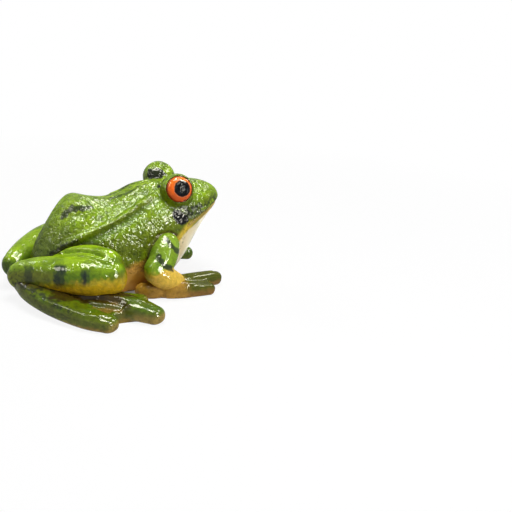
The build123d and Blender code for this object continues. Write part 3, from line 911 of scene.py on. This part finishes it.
# Grain in mm, its depth in mm, colour play, roughness, pits' painted shade, and the varnish's weight
green_paint = varnished("varnished_green_acrylic", 1.5, 0.46, 0.16, 0.35, 0.35)
throat_paint = varnished("varnished_cream_acrylic", 1.5, 0.08, 0.04, 0.35, 0.0)
limb_paint = varnished("varnished_leaf_green_acrylic", 1.8, 0.19, 0.14, 0.32, 0.2)
hand_paint = varnished("varnished_olive_acrylic", 1.8, 0.13, 0.14, 0.32, 0.2)
iris_paint = varnished("varnished_orange_enamel", 1.0, 0.09, 0.05, 0.2, 0.05)
pupil_paint = varnished("varnished_black_enamel", 0.9, 0.15, 0.10, 0.12, 0.1, 0.11)

# The body's one skin, then its two shells
mound = np.array(eye_mound_shares) * (body_half_width, body_length, body_height)
skin = melted(
    [body_surface(), ball_surface(mound, eye_mound_radius), ball_surface(mirrored(mound), eye_mound_radius)],
    body_cube,
    body_rubs,
)
points = shape_body(points_of(skin), normals_of(skin))
points[:, 2] = np.maximum(points[:, 2], 0)
skin.vertices.foreach_set("co", points.ravel())
skin.update()
for name, upper, coat, slot in (
    ("upper_body_shell", True, green_paint, "green_skin"),
    ("lower_body_shell", False, throat_paint, "cream_throat"),
):
    half = half_of(skin, upper)
    points = points_of(half)
    make(name, points, faces_of(half), paint_body(points, normals_of(half)), coat)

# The limbs, each melted into one skin. The pad of the foot has a flat top, and that of the hand
# rises towards its inner edge and sinks towards the finger tips.
leg = melted(
    [
        limb_surface(thigh_shares, foot_reach, thigh_radius, thigh_radius),
        limb_surface(shin_shares, foot_reach, shin_radius, shin_radius),
    ],
    leg_cube,
    leg_rubs,
)
foot_pad = pad_surface(web_outer_shares, web_inner_shares, foot_reach, web_height, -web_height, 40, 24)
foot = melted(
    [
        limb_surface(shares, foot_reach, foot_half_width, foot_half_height, 2.5)
        for shares in (outer_toe_shares, long_toe_shares, inner_toe_shares)
    ]
    + [foot_pad],
    leg_cube,
    foot_rubs,
)
arm = melted(
    [
        limb_surface(upper_arm_shares, hand_reach, upper_arm_radius, upper_arm_radius),
        limb_surface(forearm_shares, hand_reach, forearm_radius, forearm_radius),
    ],
    arm_cube,
    arm_rubs,
)
inward, along = np.linspace(0, 1, 16)[None, :, None], np.linspace(0, 1, 30)[:, None, None]
hand_top = hand_web_height + 0.3 + 0.3 * inward - 0.8 * along
hand_pad = pad_surface(
    hand_web_outer_shares, hand_web_inner_shares, hand_reach, hand_top, -hand_web_depth, 30, 16
)
hand = melted(
    [
        limb_surface(shares, hand_reach, hand_half_width, hand_half_height, full)
        for shares, full in ((long_finger_shares, 2.5), (short_finger_shares, 3.4), (palm_shares, 2.5))
    ]
    + [hand_pad],
    arm_cube,
    hand_rubs,
)
for name, form, shaper, painter, coat, slot in (
    ("hind_leg", leg, shape_leg, paint_leg, limb_paint, "leg_green"),
    ("hind_foot", foot, shape_foot, paint_foot, hand_paint, "foot_green"),
    ("foreleg", arm, None, paint_arm, limb_paint, "foreleg_green"),
    ("hand", hand, shape_hand, paint_hand, hand_paint, "hand_olive"),
):
    points, normals, faces = points_of(form), normals_of(form), faces_of(form)
    if shaper:
        points = shaper(points, normals)
    points[:, 2] = np.maximum(points[:, 2], 0)
    paints = painter(points, normals, 1), painter(points, normals, -1)
    make_pair(name, points, faces, paints, coat)


def pupil_frame():
    """The pupil's seat: the iris dome's centre, and the pupil's way out, turned towards the snout."""
    seat, look, across, _ = eye_frame()
    turn = pupil_forward / iris_dome_radius
    way = look * np.cos(turn) - across * np.sin(turn)
    side = across * np.cos(turn) + look * np.sin(turn)
    return seat + look * (iris_rim + iris_rise - iris_dome_radius), way, side, np.cross(way, side)


def dome_surface(stand, radius, floor, edge, rise, rings=40, around=96):
    """A turned button: a short straight rim from its floor to its edge, then a shallow arc to the
    middle, r = radius cos t and height = edge + rise sin t, about its stand's way out."""
    seat, way, across, upward = stand
    turn = np.linspace(0, np.pi / 2, rings)[:-1]
    flat = np.concatenate([[radius * 0.96, radius], radius * np.cos(turn)])
    high = np.concatenate([[floor, (floor + edge) / 2], edge + rise * np.sin(turn)])
    angle = np.linspace(0, 2 * np.pi, around, endpoint=False)
    ring = np.cos(angle)[None, :, None] * across + np.sin(angle)[None, :, None] * upward
    return seat + flat[:, None, None] * ring + high[:, None, None] * way


def paint_iris(points):
    """Orange, lighter above as painted light and darker below as painted shade, darker and browner
    at its rim, with a pale line round the pupil.
    """
    seat, look, _, upward = eye_frame()
    local = points - seat
    flat = np.linalg.norm(local - (local @ look)[:, None] * look, axis=1)
    centre, way, _, _ = pupil_frame()
    from_pupil = np.linalg.norm(points - centre - ((points - centre) @ way)[:, None] * way, axis=1)
    fleck = mottle(points, 1.0, 71)
    paint = np.tile(pigment("#f0660d"), (len(points), 1))
    # Painted light above and painted shade below
    paint = over(paint, "#ff8a2a", ease(local @ upward / 4) * 0.6)
    paint = over(paint, "#c9551f", ease(-local @ upward / 4) * 0.6)
    paint = over(paint, "#8c3410", ease((flat - 4.35 + 0.4 * (fleck - 0.5)) / 0.5) * 0.8)
    paint = over(paint, "#f6a878", ease((3.5 - from_pupil + 0.3 * (fleck - 0.5)) / 0.25) * 0.5)
    paint = over(paint, "#2a140a", ease((3.3 + 0.3 * (fleck - 0.5) - from_pupil) / 0.15))
    return paint


def paint_pupil(points):
    """Black, with faint blue-grey patches of painted reflection in places."""
    paint = np.tile(pigment("#0c0e10"), (len(points), 1))
    # Painted reflection: faint blue-grey patches
    return over(paint, "#2c3a42", ease((mottle(points, 1.1, 81) - 0.55) * 3) * 0.5)


iris = dome_surface(eye_frame(), iris_radius, iris_floor, iris_rim, iris_rise)
pupil = dome_surface(pupil_frame(), pupil_radius, pupil_floor, pupil_edge_height, pupil_rise)
for name, form, painter, coat, slot in (
    ("iris", iris, paint_iris, iris_paint, "orange_iris"),
    ("pupil", pupil, paint_pupil, pupil_paint, "black_pupil"),
):
    points, faces = closed(form)
    make_pair(name, points, faces, (painter(points),) * 2, coat)


# Floor and backdrop: plain white, with only the frog's own soft shadow on the floor. Lengths here
# are in metres.
floor_half = 1.5
# Share of the shadow that shows, and how far from the origin it fades out
shadow_shown, shadow_fades = 0.12, (0.08, 0.32)
# Distances from the origin between which the darker shadow close under the belly ends, and the
# share of white left in it
belly_shadow, belly_white = (0.016, 0.024), 0.15
# The world's light, beside the white that the camera and the gloss see
world_light = 0.09


def background_ray(tree):
    """1 for rays that show the background: the camera's own, and what gloss and glass reflect."""
    path = node(tree, "ShaderNodeLightPath")
    shiny = node(
        tree,
        "ShaderNodeMath",
        {"operation": "MAXIMUM"},
        links={0: path.outputs["Is Glossy Ray"], 1: path.outputs["Is Transmission Ray"]},
    )
    return node(
        tree,
        "ShaderNodeMath",
        {"operation": "MAXIMUM"},
        links={0: path.outputs["Is Camera Ray"], 1: shiny.outputs[0]},
    ).outputs[0]


def plain_white(name):
    """Matt white card, which looks plain white. It shows only a share of the shadow that falls on
    it: a little round the frog, none far off, so that no line shows at its edge, and nearly all
    close under the belly."""
    card = bpy.data.materials.new(name)
    card.use_nodes = True
    tree = card.node_tree
    tree.nodes.clear()
    lit = node(tree, "ShaderNodeBsdfDiffuse", inputs={"Color": (0.86, 0.86, 0.86, 1)})
    white = node(tree, "ShaderNodeEmission", inputs={"Color": (1, 1, 1, 1), "Strength": 1.0})
    place = node(tree, "ShaderNodeTexCoord").outputs["Object"]
    away = node(tree, "ShaderNodeVectorMath", {"operation": "LENGTH"}, links={0: place})
    # How white the card looks: rising to plain white away from the frog
    clean = node(
        tree,
        "ShaderNodeMapRange",
        inputs={
            "From Min": shadow_fades[0],
            "From Max": shadow_fades[1],
            "To Min": 1 - shadow_shown,
            "To Max": 1.0,
        },
        links={"Value": away.outputs["Value"]},
    )
    under = node(
        tree,
        "ShaderNodeMapRange",
        inputs={
            "From Min": belly_shadow[0],
            "From Max": belly_shadow[1],
            "To Min": belly_white,
            "To Max": 1.0,
        },
        links={"Value": away.outputs["Value"]},
    )
    part = node(
        tree,
        "ShaderNodeMath",
        {"operation": "MULTIPLY"},
        links={0: clean.outputs["Result"], 1: under.outputs["Result"]},
    )
    seen = node(
        tree,
        "ShaderNodeMath",
        {"operation": "MULTIPLY"},
        links={0: background_ray(tree), 1: part.outputs[0]},
    )
    mixed = node(
        tree,
        "ShaderNodeMixShader",
        links={0: seen.outputs[0], 1: lit.outputs["BSDF"], 2: white.outputs["Emission"]},
    )
    node(tree, "ShaderNodeOutputMaterial", links={"Surface": mixed.outputs["Shader"]})
    return card


floor_mesh = bpy.data.meshes.new("table")
corners = [(x * floor_half, y * floor_half, 0) for x, y in ((-1, -1), (1, -1), (1, 1), (-1, 1))]
floor_mesh.from_pydata(corners, [], [(0, 1, 2, 3)])
floor_mesh.materials.append(plain_white("matt_white_card"))
floor = bpy.data.objects.new("table", floor_mesh)
shown.objects.link(floor)

world = bpy.data.worlds.new("studio")
bpy.context.scene.world = world
world.use_nodes = True
sky = world.node_tree
sky.nodes.clear()
strength = node(
    sky,
    "ShaderNodeMapRange",
    inputs={"From Min": 0, "From Max": 1, "To Min": world_light, "To Max": 1.0},
    links={"Value": background_ray(sky)},
)
air = node(
    sky,
    "ShaderNodeBackground",
    inputs={"Color": (1, 1, 1, 1)},
    links={"Strength": strength.outputs["Result"]},
)
node(sky, "ShaderNodeOutputWorld", links={"Surface": air.outputs["Background"]})


def softbox(name, place, size, radiance, lights):
    """A square lamp panel that faces the frog. One that lights nothing is a card, which shows only
    in the gloss, and is a little warmer."""
    lamp = bpy.data.lights.new(name, "AREA")
    lamp.shape, lamp.size, lamp.energy = "SQUARE", size, radiance * np.pi * size**2
    box = bpy.data.objects.new(name, lamp)
    way = Vector((0, 0, 0.02)) - Vector(place)
    box.matrix_world = Matrix.Translation(place) @ way.to_track_quat("-Z", "Y").to_matrix().to_4x4()
    box.visible_camera, box.visible_diffuse = False, lights
    lamp.color = (1, 1, 1) if lights else (1, 0.97, 0.82)
    shown.objects.link(box)


# Each panel's place and size in metres, its radiance, and whether it lights the frog
for panel in (
    ("overhead", (-0.10, -0.02, 0.60), 0.24, 16, True),
    ("front_side", (-0.50, -0.30, 0.38), 0.16, 20, True),
    ("back_side", (0.46, 0.36, 0.40), 0.14, 15, True),
    ("overhead_card", (0.0, 0.12, 0.66), 0.24, 52, False),
    ("side_card", (-0.26, -0.24, 0.50), 0.14, 70, False),
    ("far_card", (0.36, -0.24, 0.48), 0.15, 55, False),
    ("front_card", (0.12, -0.44, 0.44), 0.15, 38, False),
    ("near_card", (-0.57, -0.26, 0.22), 0.21, 70, False),
    ("rear_card", (-0.06, 0.50, 0.42), 0.20, 22, False),
):
    softbox(*panel)

# Camera, at the photograph's place: seen from the frog's right and a little behind it
azimuth, elevation, roll = np.radians((243.04527, 19.46510, 3.22774))
distance, shift_right, shift_up = 309.95986, 55.67797, -8.50623
focal, picture_width, sensor_width = 774.96574, 512, 36
aim_height = 20
level_way = np.array((np.sin(azimuth), -np.cos(azimuth), 0)) * np.cos(elevation)
back = level_way + (0, 0, np.sin(elevation))
right = np.array((np.cos(azimuth), np.sin(azimuth), 0))
up = np.cross(back, right)
across = np.cos(roll) * right + np.sin(roll) * up
upward = -np.sin(roll) * right + np.cos(roll) * up
place = np.array((0, 0, aim_height)) + back * distance + across * shift_right + upward * shift_up
lens = bpy.data.cameras.new("camera")
lens.sensor_width, lens.lens = sensor_width, focal / picture_width * sensor_width
lens.clip_start, lens.clip_end = 0.01, 10
camera = bpy.data.objects.new("camera", lens)
turned = Matrix(np.column_stack([across, upward, back]).tolist()).to_4x4()
camera.matrix_world = Matrix.Translation(place * MM) @ turned
shown.objects.link(camera)
bpy.context.scene.camera = camera
bpy.context.scene.view_settings.view_transform = "Standard"
